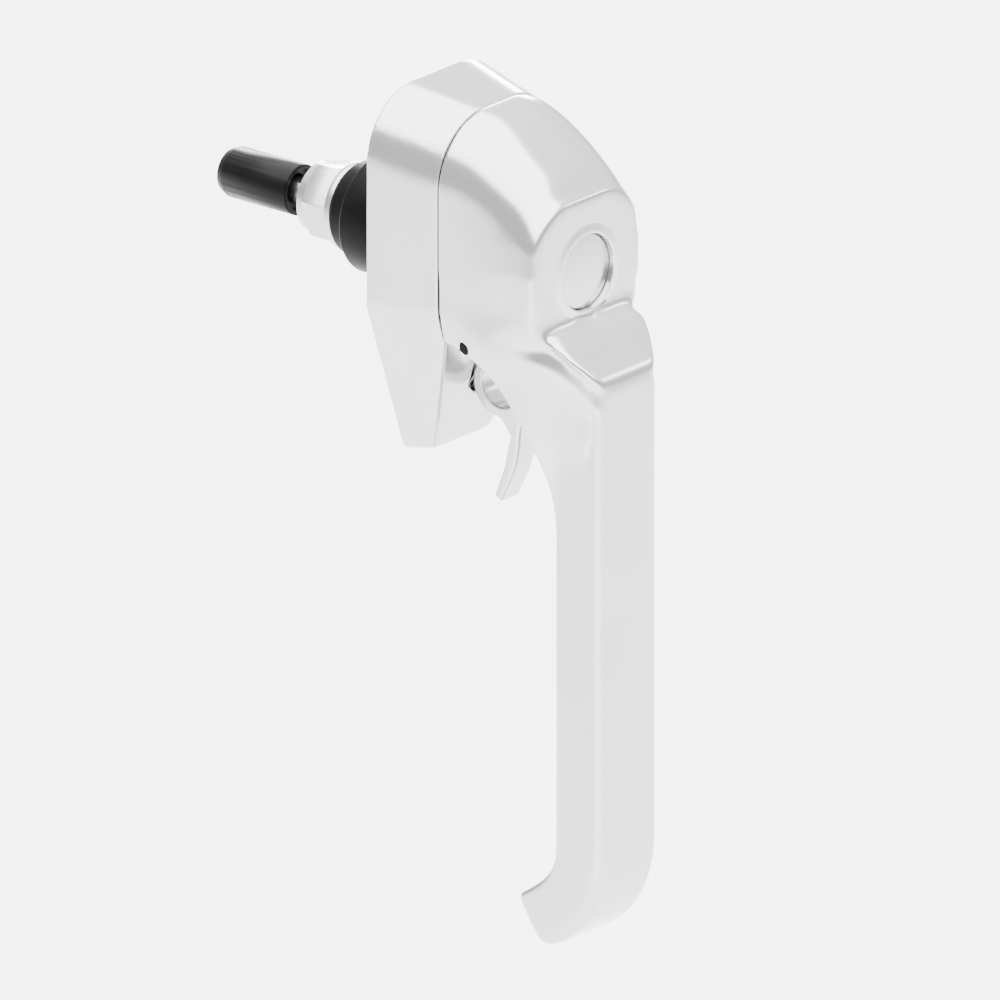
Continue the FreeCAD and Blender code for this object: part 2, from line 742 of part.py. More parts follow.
# Grip and hook: bends about one centre.
grip = new_body("grip")
grip_side = outline(grip, "grip_outline", "YZ_Plane", [
    ("-grip_back", "-boss_low - 4"),
    ("-grip_back", "-hook_z - tip_inner"),
    ("tip_inner_y", "tip_inner_z"),
    ("tip_outer_y", "tip_outer_z"),
    ("-grip_front", "-hook_z - tip_outer"),
    ("-grip_front", "-pad_low"),
    ("-grip_back", "-boss_low - (grip_back - boss_out) * 0.89"),
])
pad(grip, "grip_block", grip_side, "2 * grip_half", middle=True)
grip_back = -number("grip_back")
grip_front = -number("grip_front")
low_inner = -number("hook_z + tip_inner")
low_outer = -number("hook_z + tip_outer")
half_hook = -number("hook_z") / 2
tip = Vector(0, number("tip_inner_y"), number("tip_inner_z"))
tip_way = Vector(0, number("sin(hook_turn)"), -number("cos(hook_turn)"))
rounded(grip, "grip_bend", "pad_bend",
        lambda e, b: b.ZLength < 1 and b.YMax < grip_front + 1 and b.ZMin > half_hook)
rounded(grip, "hook_inside", "grip_back - hook_y",
        lambda e, b: b.XLength > 15 and abs(b.ZMax - low_inner) < 0.5 and abs(b.YMax - grip_back) < 0.5)
rounded(grip, "hook_outside", "grip_front - hook_y",
        lambda e, b: b.XLength > 15 and abs(b.ZMax - low_outer) < 0.5 and abs(b.YMax - grip_front) < 0.5)
rounded(grip, "grip_front_edges", "grip_round",
        lambda e, b: b.XLength < 0.1 and abs(b.YMax - grip_front) < 0.1 and b.ZLength > -half_hook)
rounded(grip, "grip_back_edges", "grip_edge",
        lambda e, b: b.XLength < 0.1 and abs(b.YMax - grip_back) < 0.1 and b.ZLength > -half_hook)
rounded(grip, "hook_tip", "2",
        lambda e, b: abs((e.CenterOfMass - tip).dot(tip_way)) < 0.3 and b.ZMax < half_hook)
casting = fused("casting", [head, boss, neck, cheeks, thumb, grip])

# Bores of the handle on the main axis, then the trigger's slot and pin holes.
bores = turned("bores", [
    ("0", "-boss_out - 3"),
    ("lock_bore", "-boss_out - 3"),
    ("lock_bore", "-boss_out + lock_deep"),
    ("2.3", "-boss_out + lock_deep"),
    ("2.3", "-boss_out + lock_deep + web + 0.5"),
    ("0", "-boss_out + lock_deep + web + 0.5"),
])
socket = new_body("square_socket")
square = outline(socket, "socket_outline", "XZ_Plane", [
    ("-square_half", "-square_half"),
    ("square_half", "-square_half"),
    ("square_half", "square_half"),
    ("-square_half", "square_half"),
], out="housing_deep - 1")
pad(socket, "socket_block", square, "boss_out - lock_deep - web - housing_deep + 1")
stop_hole = new_body("stop_hole")
ring = rings(stop_hole, "stop_ring", "XZ_Plane", [("0", "stop_at", "stop_pin")], out="housing_deep - 1")
pad(stop_hole, "stop_hole_block", ring, "9")
pin_hole = new_body("pin_hole")
ring = rings(pin_hole, "pin_ring", "YZ_Plane", [("-pivot_y", "-pivot_z", "pin")])
pad(pin_hole, "pin_hole_block", ring, "2 * head_half + 4", middle=True)
pin_mouth = new_body("pin_mouth")
ring = rings(pin_mouth, "mouth_ring", "YZ_Plane", [("-pivot_y", "-pivot_z", "pin + 0.25")], out="pin_half")
pad(pin_mouth, "mouth_block", ring, "8")
pin_mouth_left = new_body("pin_mouth_left")
ring = rings(pin_mouth_left, "mouth_left_ring", "YZ_Plane",
             [("-pivot_y", "-pivot_z", "pin + 0.25")], out="-pin_half")
pad(pin_mouth_left, "mouth_left_block", ring, "8", back=True)
pocket_body = new_body("trigger_pocket")
walls = outline(pocket_body, "trigger_pocket_outline", "YZ_Plane", [
    ("-housing_deep + 2", "-pivot_z + arm_half + 3.4"),
    ("-pivot_y - coil - wire - gap", "-pivot_z + arm_half + 3.4"),
    ("-pivot_y - coil - wire - gap", "-pivot_z + arm_half + gap"),
    ("-pivot_y - arm_half - gap", "-pivot_z + arm_half + gap"),
    ("-pivot_y - arm_half - gap", "-pivot_z + 2"),
    ("-pivot_y - arm_half - gap - 4.6", "-pivot_z - 8.5"),
    ("-eye_y - eye_outer - 6.6", "-eye_z + 1.5"),
    ("-eye_y - eye_outer - 6.6", "-eye_z - 16"),
    ("-housing_deep + 2", "-eye_z - 16"),
])
pad(pocket_body, "trigger_pocket_block", walls, "2 * (trigger_half + trigger_play)", middle=True)
handle = cut("handle_cut", casting, [bores, socket, stop_hole, pin_hole, pin_mouth, pin_mouth_left, pocket_body])
nodes["handle"] = handle

# Pins of the handle.
stop_body = new_body("stop_pin")
ring = rings(stop_body, "stop_pin_ring", "XZ_Plane", [("0", "stop_at", "stop_pin")],
             out="housing_deep - stop_deep + 0.6")
pad(stop_body, "stop_pin_block", ring, "stop_deep + 7.4")
stop_end = -number("housing_deep - stop_deep + 0.6")
rounded(stop_body, "stop_pin_end", "0.4", lambda e, b: abs(b.YMin - stop_end) < 0.01)
nodes["stop_pin"] = stop_body
pin_body = new_body("trigger_pin")
ring = rings(pin_body, "trigger_pin_ring", "YZ_Plane", [("-pivot_y", "-pivot_z", "pin")])
pad(pin_body, "trigger_pin_block", ring, "2 * pin_half", middle=True)
rounded(pin_body, "trigger_pin_ends", "0.3", lambda e, b: b.XLength < 0.1)
nodes["trigger_pin"] = pin_body

# Trigger: arm, padlock eye and tail.
trigger = new_body("trigger")
tail = outline(trigger, "tail_outline", "YZ_Plane", [
    ("-pivot_y - arm_half * 0.98", "-pivot_z"),
    ("-eye_y - eye_outer * 0.98", "-eye_z + 1"),
    ("-eye_y - 5.9", "-tail_from - 0.9"),
    ("-eye_y - 5.5", "-tail_from - 3.8", "-30"),
    ("-eye_y - 1.3", "-tail_from - 18"),
    ("-eye_y + 0.1", "-tail_from - 20.8"),
    ("-eye_y + 2.1", "-tail_from - 19.7"),
    ("-eye_y - 0.7", "-tail_from - 12.3"),
    ("-eye_y - 2.7", "-tail_from - 3.9", "-40"),
    ("-eye_y + 0.5", "-tail_from + 0.1"),
    ("-eye_y + eye_outer * 0.9", "-eye_z"),
    ("-eye_y + 3", "-eye_z + 7.2"),
    ("-pivot_y + arm_half * 0.98", "-pivot_z + 0.4"),
])
pad(trigger, "tail_block", tail, "2 * trigger_half", middle=True)
ring = rings(trigger, "eye_ring", "YZ_Plane", [("-eye_y", "-eye_z", "eye_outer")])
pad(trigger, "eye_block", ring, "2 * trigger_half", middle=True)
ring = rings(trigger, "pivot_ring", "YZ_Plane", [("-pivot_y", "-pivot_z", "arm_half")])
pad(trigger, "pivot_block", ring, "2 * trigger_half", middle=True)
ring = rings(trigger, "eye_hole_ring", "YZ_Plane", [("-eye_y", "-eye_z", "eye_hole")])
pocket(trigger, "eye_hole_cut", ring, "20", middle=True)
tail_top = -number("tail_from - 0.3")
rounded(trigger, "tail_edges", "tail_round",
        lambda e, b: b.XLength < 0.01 and b.ZMax < tail_top and b.ZMin < tail_top - 0.8)
ring = rings(trigger, "fork_ring", "YZ_Plane", [("-pivot_y", "-pivot_z", "arm_half + 0.3")])
pocket(trigger, "fork_cut", ring, "2 * fork_half", middle=True)
ring = rings(trigger, "pivot_hole_ring", "YZ_Plane", [("-pivot_y", "-pivot_z", "pin + running")])
pocket(trigger, "pivot_hole_cut", ring, "20", middle=True)
nodes["trigger"] = trigger

# Torsion spring in the trigger's fork: one leg on the trigger, one on the handle.
coil = doc.addObject("Part::Helix", "coil_line")
bind(coil, "Radius", "coil")
bind(coil, "Pitch", "2 * (fork_half - wire - 0.15) / 3")
bind(coil, "Height", "2 * (fork_half - wire - 0.15)")
coil.Placement = Placement(
    Vector(0, 0, 0), Rotation(Vector(1, 0, 0), -90) * Rotation(Vector(0, 1, 0), 90))
bind(coil, "Placement.Base.x", "-(fork_half - wire - 0.15)")
bind(coil, "Placement.Base.y", "-pivot_y")
bind(coil, "Placement.Base.z", "-pivot_z")
section = doc.addObject("Part::Circle", "wire_circle")
bind(section, "Radius", "wire")
bind(section, "Placement.Base.x", "-(fork_half - wire - 0.15)")
bind(section, "Placement.Base.y", "-pivot_y - coil")
bind(section, "Placement.Base.z", "-pivot_z")
winding = doc.addObject("Part::Sweep", "winding")
winding.Sections = [section]
winding.Spine = (coil, ["Edge1"])
winding.Solid = True
winding.Frenet = True


def leg(name, across, along, up, tall):
    """A straight end of the wire."""
    item = doc.addObject("Part::Cylinder", name)
    bind(item, "Radius", "wire")
    bind(item, "Height", tall)
    bind(item, "Placement.Base.x", across)
    bind(item, "Placement.Base.y", along)
    bind(item, "Placement.Base.z", up)
    return item


upper_leg = leg("upper_leg", "-(fork_half - wire - 0.15)", "-pivot_y - coil", "-pivot_z", "arm_half + 2.2")
lower_leg = leg("lower_leg", "fork_half - wire - 0.15", "-pivot_y - coil",
                "-pivot_z - sqrt(arm_half^2 - coil^2) - 0.3", "sqrt(arm_half^2 - coil^2) + 0.3")
doc.recompute()
nodes["trigger_spring"] = fused("spring_wire", [winding, upper_leg, lower_leg])

for name, item in nodes.items():
    item.Label = name
doc.recompute()
for item in doc.Objects:
    if "Invalid" in item.State or "Error" in item.State:
        raise RuntimeError(item.Name + " did not build")
for name, item in nodes.items():
    shape = item.Shape
    if shape.isNull() or not shape.isValid() or len(shape.Solids) != 1:
        raise RuntimeError(name + " is not one valid solid")
    shape.exportStep("parts/%s.step" % name)
    print(name, round(shape.Volume, 1))
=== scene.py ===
# %% [markdown]
# # A cabinet latch with an L handle
# A chromed grip turns on a housing, a spindle goes through the panel behind it, and a small trigger
# with a padlock eye hangs under the head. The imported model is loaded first, as a fixed frame. Every piece
# made here sits where that frame says, so nothing has to be fitted by eye.

# %% Load the frame
import math

import bpy
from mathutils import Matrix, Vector


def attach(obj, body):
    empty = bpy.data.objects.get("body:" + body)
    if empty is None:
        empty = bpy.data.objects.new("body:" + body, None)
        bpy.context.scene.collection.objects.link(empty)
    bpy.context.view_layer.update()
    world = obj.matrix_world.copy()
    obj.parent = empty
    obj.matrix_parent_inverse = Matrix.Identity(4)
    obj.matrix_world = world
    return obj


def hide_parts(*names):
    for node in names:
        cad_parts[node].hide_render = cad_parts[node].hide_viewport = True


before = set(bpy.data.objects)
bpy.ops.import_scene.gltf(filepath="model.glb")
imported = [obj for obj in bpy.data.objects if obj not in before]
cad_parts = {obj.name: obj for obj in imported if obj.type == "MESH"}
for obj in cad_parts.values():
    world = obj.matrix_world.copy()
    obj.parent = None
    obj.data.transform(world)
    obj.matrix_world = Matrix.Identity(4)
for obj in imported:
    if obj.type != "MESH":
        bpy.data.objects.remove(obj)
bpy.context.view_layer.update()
MM = 0.001

# %% [markdown]
# ## The camera
# Catalogue photographs of hardware are often taken with a long lens, so lines that are parallel stay
# parallel. An orthographic camera does the same. It stands 50 degrees round to the left and looks down by 20.
# Its scale, and the pixel where the spindle's axis meets the panel, were measured in the photograph.

# %% Set the camera
PIXELS_PER_MM = 4.316
AXIS_PIXEL = (434.9, 228.3)
IMAGE_PIXELS = 1000
AWAY = 1.2

turn = math.radians(-50)
rise = math.radians(20)
back = Vector((math.sin(turn) * math.cos(rise), -math.cos(turn) * math.cos(rise), math.sin(rise)))
right = Vector((math.cos(turn), math.sin(turn), 0))
up = back.cross(right)
across = (IMAGE_PIXELS / 2 - AXIS_PIXEL[0]) / PIXELS_PER_MM * MM
down = (IMAGE_PIXELS / 2 - AXIS_PIXEL[1]) / PIXELS_PER_MM * MM

lens = bpy.data.cameras.new("camera")
lens.type = "ORTHO"
lens.ortho_scale = IMAGE_PIXELS / PIXELS_PER_MM * MM
camera = bpy.data.objects.new("camera", lens)
camera.location = right * across - up * down + back * AWAY
camera.rotation_mode = "QUATERNION"
camera.rotation_quaternion = back.to_track_quat("Z", "Y")
bpy.context.scene.collection.objects.link(camera)
bpy.context.scene.camera = camera
print("camera at", camera.location)

# %% [markdown]
# ## Helpers for the finishes
# A colour is written as the sRGB hex value that an artist would pick, and one function turns it into the
# linear numbers that a shader wants. Another adds a shader node with its settings and links in one line.

# %% Colour and node helpers
def linear(code):
    """Linear colour from an sRGB hex value."""
    channels = [int(code[i:i + 2], 16) / 255 for i in (1, 3, 5)]
    return [c / 12.92 if c <= 0.04045 else ((c + 0.055) / 1.055) ** 2.4 for c in channels] + [1]


def add_node(material, kind, settings=(), inputs=()):
    """Adds a node; an input is a value or another node's output."""
    tree = material.node_tree
    made = tree.nodes.new(kind)
    for name, value in dict(settings).items():
        setattr(made, name, value)
    for name, value in dict(inputs).items():
        if isinstance(value, bpy.types.NodeSocket):
            tree.links.new(value, made.inputs[name])
        else:
            made.inputs[name].default_value = value
    return made


def start(name):
    """An empty material and its Object coordinates."""
    material = bpy.data.materials.new(name)
    material.use_nodes = True
    material.node_tree.nodes.clear()
    place = add_node(material, "ShaderNodeTexCoord")
    return material, place.outputs["Object"]


def close(material, shader):
    """Links the shader to the output and gives the finished material back."""
    add_node(material, "ShaderNodeOutputMaterial", inputs={"Surface": shader.outputs[0]})
    print("finish", material.name, len(material.node_tree.nodes), "nodes")
    return material

# %% [markdown]
# ## Satin chrome on a zinc die casting
# The casting is polished, bead blasted a little and plated. Chromium reflects about half of the light, so it
# looks a grey step darker than its surroundings. The eye sees a slightly blurred mirror with a faint
# orange-peel wave some millimetres long, and fine grit that roughens the edges of the highlights. The grit is
# drawn coarser than the real few hundredths of a millimetre, so that it still shows at this picture's size.
# The other metals differ only in colour, roughness, wave and grit, so one function makes them all.

# %% Satin chrome and the other metals
GRIT_MM = 0.35
PATCH_MM = 18


def plated(name, colours, rough, wave_mm, wave_depth_mm, grit):
    """A metal with a long wave, fine grit and faint patches of tone."""
    material, place = start(name)
    wave = add_node(material, "ShaderNodeTexNoise", inputs={
        "Vector": place, "Scale": 1 / (wave_mm * MM), "Detail": 2.0, "Roughness": 0.4})
    fine = add_node(material, "ShaderNodeTexNoise", inputs={
        "Vector": place, "Scale": 1 / (GRIT_MM * MM), "Detail": 3.0, "Roughness": 0.6})
    patch = add_node(material, "ShaderNodeTexNoise", inputs={
        "Vector": place, "Scale": 1 / (PATCH_MM * MM), "Detail": 3.0, "Roughness": 0.5})
    tint = add_node(material, "ShaderNodeMix", {"data_type": "RGBA"}, {
        "Factor": patch.outputs["Fac"], 6: linear(colours[0]), 7: linear(colours[1])})
    swell = add_node(material, "ShaderNodeBump", inputs={
        "Strength": 0.25, "Distance": wave_depth_mm * MM, "Height": wave.outputs["Fac"]})
    bumps = add_node(material, "ShaderNodeBump", inputs={
        "Strength": grit, "Distance": 0.004 * MM, "Height": fine.outputs["Fac"],
        "Normal": swell.outputs["Normal"]})
    gloss = add_node(material, "ShaderNodeMapRange", inputs={
        "Value": patch.outputs["Fac"], "To Min": rough - 0.02, "To Max": rough + 0.02})
    shader = add_node(material, "ShaderNodeBsdfPrincipled", inputs={
        "Base Color": tint.outputs[2], "Metallic": 1.0, "Roughness": gloss.outputs["Result"],
        "Normal": bumps.outputs["Normal"]})
    return close(material, shader)


# The castings: a soft mirror, with a slow wave in every reflection.
satin_chrome = plated("satin_chrome_on_zinc", ("#AFB0AF", "#A9AAAA"), 0.21, 6, 0.008, 0.2)
# The turned rim: a clearer mirror, with narrow bright and dark lines.
bright_chrome = plated("bright_chrome_lip", ("#B8B9B9", "#B2B3B3"), 0.12, 9, 0.004, 0.1)
# Nut, washer and stud: a duller, greyer metal that spreads its highlights.
zinc_steel = plated("zinc_plated_steel", ("#ABABAA", "#9C9D9C"), 0.26, 3, 0.01, 0.4)
# Spring and stop pin: plain steel, blurred and a little uneven.
bare_steel = plated("ground_steel", ("#B9B9B8", "#9D9D9C"), 0.32, 2, 0.01, 0.5)
# Trigger pin and screw: almost black, with a faint grey sheen.
black_steel = plated("black_oxide_steel", ("#141415", "#0E0E0F"), 0.4, 2, 0.01, 0.5)
# Bearing sleeve: warm and grainy. Its grains are drawn coarser than the real tenth of a millimetre.
bronze = plated("oiled_sintered_bronze", ("#B58A4B", "#9A7440"), 0.45, 0.8, 0.02, 0.8)

# %% [markdown]
# ## Black plastics and rubber
# The panel bushing is moulded nylon with a fine spark-eroded grain. The cap on the stud is soft dipped
# vinyl, smoother and with a broad sheen. The seals are rubber, which is matter than both. The grain is drawn
# coarser than the real tenth of a millimetre, so that it breaks the highlights up at this picture's size.

# %% Black mouldings
TONE_MM = 7


def moulded(name, colours, rough, grain_mm, depth_mm, sheen):
    """A plastic or rubber with moulded grain and faint patches of tone."""
    material, place = start(name)
    grain = add_node(material, "ShaderNodeTexNoise", inputs={
        "Vector": place, "Scale": 1 / (grain_mm * MM), "Detail": 4.0, "Roughness": 0.55})
    patch = add_node(material, "ShaderNodeTexNoise", inputs={
        "Vector": place, "Scale": 1 / (TONE_MM * MM), "Detail": 2.0, "Roughness": 0.5})
    tint = add_node(material, "ShaderNodeMix", {"data_type": "RGBA"}, {
        "Factor": patch.outputs["Fac"], 6: linear(colours[0]), 7: linear(colours[1])})
    bumps = add_node(material, "ShaderNodeBump", inputs={
        "Strength": 0.35, "Distance": depth_mm * MM, "Height": grain.outputs["Fac"]})
    gloss = add_node(material, "ShaderNodeMapRange", inputs={
        "Value": patch.outputs["Fac"], "To Min": rough - 0.04, "To Max": rough + 0.04})
    shader = add_node(material, "ShaderNodeBsdfPrincipled", inputs={
        "Base Color": tint.outputs[2], "Roughness": gloss.outputs["Result"],
        "IOR": 1.5, "Specular IOR Level": sheen, "Normal": bumps.outputs["Normal"]})
    return close(material, shader)


# Panel bushing: a deep black that shows almost no highlight.
black_nylon = moulded("moulded_black_nylon", ("#060607", "#0A0A0B"), 0.42, 0.5, 0.02, 0.04)
# Cap on the stud: as black, with one soft streak of light along it.
black_vinyl = moulded("dipped_black_vinyl", ("#050506", "#090909"), 0.3, 1.2, 0.02, 0.07)
# Seals: a greyer, dusty black.
black_rubber = moulded("black_seal_rubber", ("#0A0A0A", "#0F0F0F"), 0.6, 0.3, 0.02, 0.2)
# The nut's locking ring: a milky off-white.
pale_nylon = moulded("natural_nylon", ("#DCDAD2", "#E4E2DB"), 0.35, 0.6, 0.01, 0.5)

# %% [markdown]
# ## Helpers for the pieces
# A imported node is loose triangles. A copy of one can be merged and worked on, and the node it came from is
# then hidden. A die casting has no sharp corner anywhere, so its copy is remeshed into small even quads,
# which the smooth modifier relaxes until every edge has the small radius that a casting has.

# %% Copy, merge, remesh and relax
WELD_MM = 0.002
CORNER = math.radians(35)


def only(piece):
    """Deselects all, then selects this piece alone."""
    bpy.ops.object.select_all(action="DESELECT")
    bpy.context.view_layer.objects.active = piece
    piece.select_set(True)


def merged_copy(node, name):
    """A welded copy of a node, as its own piece."""
    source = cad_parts[node]
    piece = bpy.data.objects.new(name, source.data.copy())
    bpy.context.scene.collection.objects.link(piece)
    only(piece)
    bpy.ops.object.mode_set(mode="EDIT")
    bpy.ops.mesh.select_all(action="SELECT")
    bpy.ops.mesh.remove_doubles(threshold=WELD_MM * MM)
    bpy.ops.object.mode_set(mode="OBJECT")
    return piece


def apply_modifier(piece, kind, **settings):
    """Adds a modifier, sets it and applies it."""
    only(piece)
    added = piece.modifiers.new(kind.lower(), kind)
    for name, value in settings.items():
        setattr(added, name, value)
    bpy.ops.object.modifier_apply(modifier=added.name)


def remeshed(piece, size_mm):
    """Even quads of the given size, with no sharp edges left over."""
    only(piece)
    piece.data.remesh_voxel_size = size_mm * MM
    piece.data.remesh_voxel_adaptivity = 0
    bpy.ops.object.voxel_remesh()
    bpy.ops.mesh.customdata_custom_splitnormals_clear()
    bpy.ops.object.shade_smooth(keep_sharp_edges=False)
    print(piece.name, len(piece.data.polygons), "quads")


def weighted(piece, name, weight):
    """A vertex group whose weight at each point comes from its place in millimetres."""
    group = piece.vertex_groups.new(name=name)
    for point in piece.data.vertices:
        group.add([point.index], weight(point.co / MM), "REPLACE")


def relaxed(piece, passes, weight=None):
    """Smooths a piece, everywhere or as far as the weight says."""
    settings = {"factor": 0.5, "iterations": passes}
    if weight:
        weighted(piece, weight.__name__, weight)
        settings["vertex_group"] = weight.__name__
    apply_modifier(piece, "SMOOTH", **settings)
    print(piece.name, "relaxed", passes, "times", weight.__name__ if weight else "all over")


def cylinder(name, radius_mm, centre_mm, length_mm):
    """A helper cylinder across the latch, for filling or cutting a piece."""
    bpy.ops.object.select_all(action="DESELECT")
    bpy.ops.mesh.primitive_cylinder_add(
        vertices=64, radius=radius_mm * MM, depth=length_mm * MM,
        location=Vector(centre_mm) * MM, rotation=(0, math.radians(90), 0))
    helper = bpy.context.object
    helper.name = name
    bpy.ops.object.transform_apply(location=True, rotation=True, scale=True)
    return helper


def join_into(piece, other):
    """Makes the other object part of the piece."""
    only(piece)
    other.select_set(True)
    bpy.ops.object.join()


def finish_piece(piece, material, body, *replaced):
    """Dresses a piece and tells the frame what it rides on and stands for."""
    piece.data.materials.clear()
    piece.data.materials.append(material)
    only(piece)
    bpy.ops.object.shade_smooth(keep_sharp_edges=False)
    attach(piece, body)
    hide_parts(*replaced)
    print(piece.name, "rides on", body)

# %% [markdown]
# ## The handle
# Head, lock boss, thumb pad, neck, grip and hook are one casting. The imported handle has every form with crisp
# edges and some curves as flat strips. Its copy is remeshed first, with the pin's bore filled at both mouths,
# so that the surfaces round them stay whole. Places are in millimetres: x to the right, y towards the panel
# and z up, from the spindle's axis on the panel.

# %% Handle casting
PIN_PLACE = (-25.5, -18.1)
NECK_SIDE = 19.6
FILL_RADIUS = 2.6
FILL_LONG = 3.1

handle = merged_copy("handle", "handle_casting")
for side in (-1, 1):
    middle = side * (NECK_SIDE - FILL_LONG / 2)
    join_into(handle, cylinder("fill", FILL_RADIUS, (middle, *PIN_PLACE), FILL_LONG))
remeshed(handle, 0.5)

# %% [markdown]
# ## Drawing the outline out
# The photograph shows the lock face, the thumb pad and the rear edge of the neck a little wider than the
# packed handle has them, and a longer hook. Each is drawn out by one to four millimetres, fading softly into
# its surroundings, which is how a pattern maker adds material for draft. Beside the pad less is added, so the
# flank is left scooped in towards it and the thumb can find the edge without looking. Fades run soft at both
# ends, because a mirror shows every kink.

# %% How a weight fades
FACE = -46.0


def share(value):
    """The value kept between nothing and one."""
    return min(1, max(0, value))


def ease(value, start, stop):
    """Nothing at start, one at stop, soft between."""
    part = share((value - start) / (stop - start))
    return part * part * (3 - 2 * part)


def between(value, table):
    """The value read off a table of (place, amount) pairs in falling order."""
    for (a, first), (b, second) in zip(table, table[1:]):
        if a >= value >= b:
            return first + (second - first) * (a - value) / (a - b)
    return table[0][1] if value > table[0][0] else table[-1][1]


def from_axis(p):
    """Distance from the spindle's axis."""
    return math.hypot(p.x, p.z)


print("a fade at its quarters:", [ease(part, 0, 4) for part in range(5)])

# %% [markdown]
# ## The hollow beside the thumb pad
# The pad is a slanted plane from the lock face down to the bend of the grip. Just behind its edge the flank
# is scooped in, as a ball-nosed cutter would do on the pattern. A point's place along the slope and behind it
# says how deep.

# %% The hollow beside the pad
PAD_TOP = Vector((FACE, -12.0))
PAD_LOW = Vector((-58.9, -23.0))
PAD_WAY = (PAD_LOW - PAD_TOP).normalized()
PAD_LONG = (PAD_LOW - PAD_TOP).length
EDGE_SHARE = 0.85


def on_pad(p):
    """How far along the pad's slope a point lies, and how far behind it."""
    away = Vector((p.y, p.z)) - PAD_TOP
    return away.dot(PAD_WAY), away.y * PAD_WAY.x - away.x * PAD_WAY.y


def scooped(p):
    """Full just behind the pad's edge, gone five millimetres behind it, growing along the edge itself."""
    if p.y > -36 or p.z > -6:
        return 0
    along, behind = on_pad(p)
    edge = EDGE_SHARE * share(along / PAD_LONG)
    hollow = ease(along, -6, -1)
    here = edge + (max(edge, hollow) - edge) * ease(behind, 0.1, 1.9)
    return here * (1 - ease(behind, 1.6, 5.4)) * (1 - ease(along, PAD_LONG, PAD_LONG + 12))


def cove(p):
    """Full in the hollow, nothing on the pad's edge."""
    return min(1, 2 * scooped(p)) * ease(on_pad(p)[1], 0.6, 1.8)


print("the pad is", round(PAD_LONG, 1), "mm long")

# %% [markdown]
# ## How far each form is drawn out
# The tables give the millimetres to add on each side at a height z, at the front and along the rear edge of
# the neck, and where that edge lies. They were read off the photograph's outline. Each function after them
# says where one form is, as a weight between nothing and one.

# %% Draw the lock face, pad, neck and hook out
FRONT_WIDER = ((24, 0), (17, 0.4), (10, 1.9), (3, 2.8), (-5, 2.6), (-9, 2.6), (-14, 4.0), (-18, 4.0),
               (-22, 2.6), (-26, 1.1), (-31, 0.5), (-170, 0.5))
REAR_WIDER = ((-17, 0), (-20, 0.7), (-25, 1.5), (-31, 2.7), (-36, 3.3), (-42, 3.3), (-47, 2.5),
              (-54, 1.6), (-60, 0.6), (-64, 0.5), (-170, 0.5))
REAR_EDGE = ((-18.1, -19.1), (-22, -27.3), (-26, -31.9), (-30, -34.9), (-34, -37.3), (-40, -40.3),
             (-45, -42.3), (-50, -43.7), (-55, -44.8), (-60, -45.5))
WIDEST = 4
PAD_OUT = 1.5
LIP_HIGH = 1.1
GRIP_BACK = 0.45
HOOK_OUT = 2.2


def drawn_out(piece, axis, amount_mm, weight):
    """Moves the piece along an axis, faded by the weight."""
    weighted(piece, "drawn", weight)
    apply_modifier(piece, "DISPLACE", direction=axis, strength=amount_mm * MM, mid_level=0,
                   vertex_group="drawn")
    piece.vertex_groups.remove(piece.vertex_groups["drawn"])
    print("drawn out", weight.__name__, amount_mm, "mm along", axis)


def wider(p):
    """How far the side stands out here, as a share of the most."""
    rear = between(p.z, REAR_EDGE)
    depth = share((rear - p.y) / (rear - FACE)) ** 1.5
    amount = between(p.z, REAR_WIDER) * (1 - depth) + between(p.z, FRONT_WIDER) * depth
    amount = amount * (1 - 0.8 * scooped(p))
    low = ease(-p.z, 11, 13.5)
    reach = ease(abs(p.x), 11.4, 16) * (1 - low) + ease(abs(p.x), 3, 9) * low
    return amount * reach / WIDEST


def right_side(p):
    """The widening on the right alone."""
    return wider(p) if p.x > 0 else 0


def left_side(p):
    """The widening on the left alone."""
    return wider(p) if p.x < 0 else 0


def pad_upper_edge(p):
    """Full along the pad's upper edge, gone at its bend."""
    fading = share((24 + p.z) / 11)
    return ease(-p.y, 43, 46) * ease(-p.z, 11.8, 14) * fading * (1 - ease(abs(p.x), 18, 21))


def bore_lip(p):
    """Full on the casting's raised lip, which the turned rim stands for."""
    return share((FACE - p.y) / LIP_HIGH) if 9 < from_axis(p) < 12 else 0


def grip_back(p):
    """Full on the back of the grip."""
    return ease(-p.z, 50, 62) * ease(p.y, -52, -46)


def hook_tip(p):
    """Full at the tip of the hook."""
    return ease(-p.z, 138, 148) * ease(p.y, -46, -38.5)


drawn_out(handle, "X", WIDEST, right_side)
drawn_out(handle, "X", -WIDEST, left_side)
drawn_out(handle, "Y", -PAD_OUT, pad_upper_edge)
drawn_out(handle, "Y", LIP_HIGH, bore_lip)
drawn_out(handle, "Y", GRIP_BACK, grip_back)
drawn_out(handle, "Y", HOOK_OUT, hook_tip)

# %% [markdown]
# ## Foundry fillets
# Relaxing the mesh gives every edge and crease the small radius that a casting has. Broad areas get many
# passes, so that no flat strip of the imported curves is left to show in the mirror: the flanks of the neck,
# the crown of the head with the upper edge of the lock face, and the root, bend and corners of the pad.

# %% Relax the casting
FLANK_END = ((-12, -45), (-24, -55), (-60, -56))
LITTLE = 0.1


def softness(p):
    """Full on the outside; little at the bores, the pocket and the parting face."""
    bore = from_axis(p) < 11 and p.y < -36
    parting_face = p.y > -20
    pocket = abs(p.x) < 4.8 and p.y > -38 and p.z > -38
    return LITTLE if bore or parting_face or pocket else 1.0


